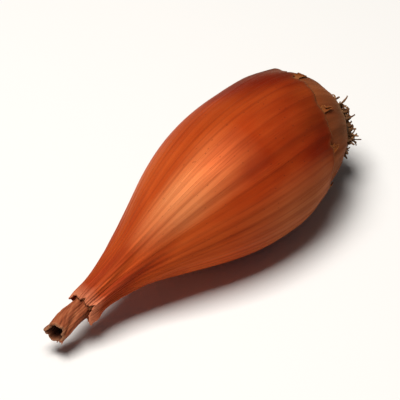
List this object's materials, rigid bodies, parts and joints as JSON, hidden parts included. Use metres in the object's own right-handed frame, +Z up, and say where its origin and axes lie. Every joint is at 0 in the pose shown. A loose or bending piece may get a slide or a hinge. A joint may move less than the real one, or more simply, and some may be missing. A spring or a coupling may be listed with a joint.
{
  "type": "onion set",
  "caption": "Small dry onion bulb grown for planting, lying on its side, with a copper-red papery skin, a long neck with a withered leaf stub, and a corky root plate with dried roots.",
  "frame": {"origin": "on the ground, under the middle of the bounding box", "axes": "+X along the bulb from its neck to its root plate, +Z up, away from the flat spot that it rests on"},
  "size_m": [0.0508, 0.0194, 0.0195],
  "materials": {
    "dry_skin": "copper-red papery skin with a satin sheen and fine lengthwise veins",
    "withered_leaf": "matt brown-tan withered leaf",
    "dried_root": "matt grey-beige cork and dried roots"
  },
  "bodies": {
    "root": {"bulb": "dry_skin", "neck_stub": "withered_leaf", "root_plate": "dried_root"}
  },
  "joints": []
}
